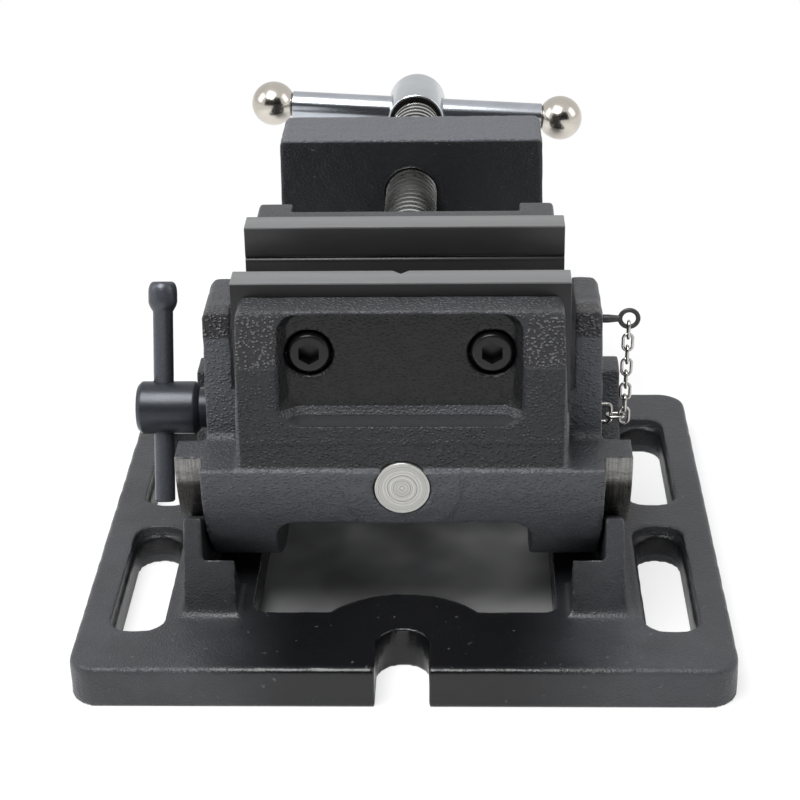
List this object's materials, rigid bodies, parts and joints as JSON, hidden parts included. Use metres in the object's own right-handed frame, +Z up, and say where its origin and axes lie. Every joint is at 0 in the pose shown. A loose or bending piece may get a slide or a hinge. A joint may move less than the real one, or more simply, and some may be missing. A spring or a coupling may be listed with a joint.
{
  "type": "tilting bench vise",
  "caption": "Cast-iron drill-table vise whose body tilts in a slotted base, with a screw-driven jaw, sliding handle bar, lock lever and chained locating pin.",
  "frame": {"origin": "bottom centre of the whole vise, on the plane the base stands on", "axes": "+Z up, +Y from the fixed jaw at the front towards the screw handle at the back, +X to the right seen from the front, along the tilt axis"},
  "size_m": [0.198, 0.295, 0.1153],
  "materials": {
    "cast_iron_paint": "charcoal enamel over a rough sand-cast skin, semi-matt",
    "ground_steel": "ground steel, hardened and darkened on its gripping face",
    "bright_steel": "turned bright steel bar with a sawn and faced end",
    "thread_steel": "rolled thread, lightly oiled",
    "chrome": "bright chrome plate",
    "nickel": "warm nickel plate",
    "black_oxide": "black oxide, satin"
  },
  "bodies": {
    "base": {"base": "cast_iron_paint"},
    "vise_body": {"vise_body": "cast_iron_paint", "fixed_jaw_plate": "ground_steel", "fixed_plate_bolt_left": "black_oxide", "fixed_plate_bolt_right": "black_oxide", "guide_rod": "bright_steel", "chain_staple": "nickel", "chain_end_link": "nickel"},
    "movable_jaw": {"movable_jaw": "cast_iron_paint", "movable_jaw_plate": "ground_steel", "movable_plate_bolt_left": "black_oxide", "movable_plate_bolt_right": "black_oxide", "screw_retaining_pin": "thread_steel"},
    "lead_screw": {"lead_screw": "thread_steel", "screw_head": "chrome"},
    "handle": {"handle_bar": "chrome", "handle_ball_left": "nickel", "handle_ball_right": "nickel"},
    "lock_lever": {"lock_screw": "black_oxide", "lock_bar": "black_oxide"},
    "locating_pin": {"locating_pin": "black_oxide"},
    "chain": {"chain_link_1": "nickel", "chain_link_2": "nickel", "chain_link_3": "nickel", "chain_link_4": "nickel", "chain_link_5": "nickel", "chain_link_6": "nickel", "chain_link_7": "nickel", "chain_link_8": "nickel"}
  },
  "joints": [
    {"name": "body_tilt", "type": "hinge", "parent": "base", "child": "vise_body", "pos_m": [0, -0.0675, 0.0595], "axis": [1, 0, 0], "range_deg": [0, 90]},
    {"name": "jaw_slide", "type": "slide", "parent": "vise_body", "child": "movable_jaw", "axis": [0, 1, 0], "range_m": [-0.0355, 0.061]},
    {"name": "screw_turn", "type": "hinge", "parent": "movable_jaw", "child": "lead_screw", "pos_m": [0, 0.0325, 0.0923], "axis": [0, 1, 0], "range_deg": [-3190, 5485]},
    {"name": "handle_slide", "type": "slide", "parent": "lead_screw", "child": "handle", "axis": [0.9981, 0, -0.061], "range_m": [-0.036, 0.036]},
    {"name": "lock_turn", "type": "hinge", "parent": "vise_body", "child": "lock_lever", "pos_m": [-0.0768, -0.0675, 0.0595], "axis": [1, 0, 0], "range_deg": [-60, 100]},
    {"name": "pin_pull", "type": "slide", "parent": "vise_body", "child": "locating_pin", "axis": [1, 0, 0], "range_m": [0, 0.0095]},
    {"name": "chain_swing", "type": "hinge", "parent": "locating_pin", "child": "chain", "pos_m": [0.0688, -0.0765, 0.0936], "axis": [0, 1, 0], "range_deg": [0, 16.5]}
  ],
  "couplings": [
    {"joint": "jaw_slide", "follows": "screw_turn", "m_per_rad": 0.00063662},
    {"joint": "chain_swing", "follows": "pin_pull", "rad_per_m": 29.2}
  ]
}
